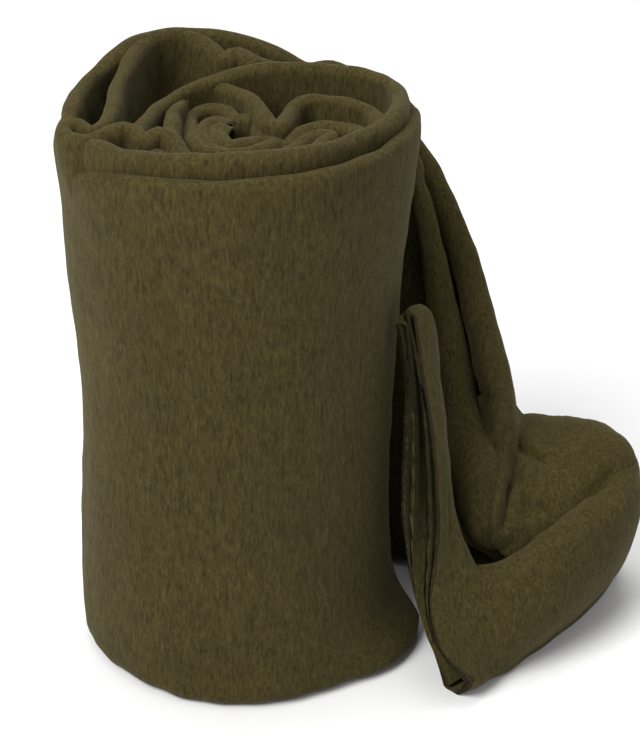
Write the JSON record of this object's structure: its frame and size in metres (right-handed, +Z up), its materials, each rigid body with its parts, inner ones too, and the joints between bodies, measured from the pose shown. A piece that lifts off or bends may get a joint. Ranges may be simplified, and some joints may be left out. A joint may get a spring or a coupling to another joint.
{
  "type": "rolled camp blanket",
  "caption": "Fleece blanket folded lengthways into a strip, rolled into a standing cylinder, with a loose tail turned back beside it.",
  "frame": {"origin": "centre of the roll's flat base, on the ground", "axes": "+Z up along the roll's axis; +X from the roll towards its loose end; the loose end turns back towards -Y"},
  "size_m": [0.381, 0.2272, 0.387],
  "materials": {
    "fleece": "matte brushed pile",
    "hem_thread": "matte thread"
  },
  "bodies": {
    "roll": {"outer_fold_turns": "fleece", "inner_fold_turns": "fleece", "core_turns": "fleece"},
    "tail": {"tail_outer_fold": "fleece", "tail_inner_fold": "fleece", "slumped_fold": "fleece", "turn_outer_fold": "fleece", "turn_inner_fold": "fleece"},
    "end_flap": {"end_outer_fold": "fleece", "end_inner_fold": "fleece", "end_outer_hem": "fleece", "end_inner_hem": "fleece", "end_hem_stitches": "hem_thread"}
  },
  "joints": [
    {"name": "tail_swing", "type": "hinge", "parent": "roll", "child": "tail", "pos_m": [0.0477, 0.0897, 0], "axis": [0, 0, 1], "range_deg": [0, 60]},
    {"name": "flap_swing", "type": "hinge", "parent": "tail", "child": "end_flap", "pos_m": [0.1936, -0.0651, 0], "axis": [-0.1895, 0.0772, 0.9788], "range_deg": [0, 50]}
  ]
}
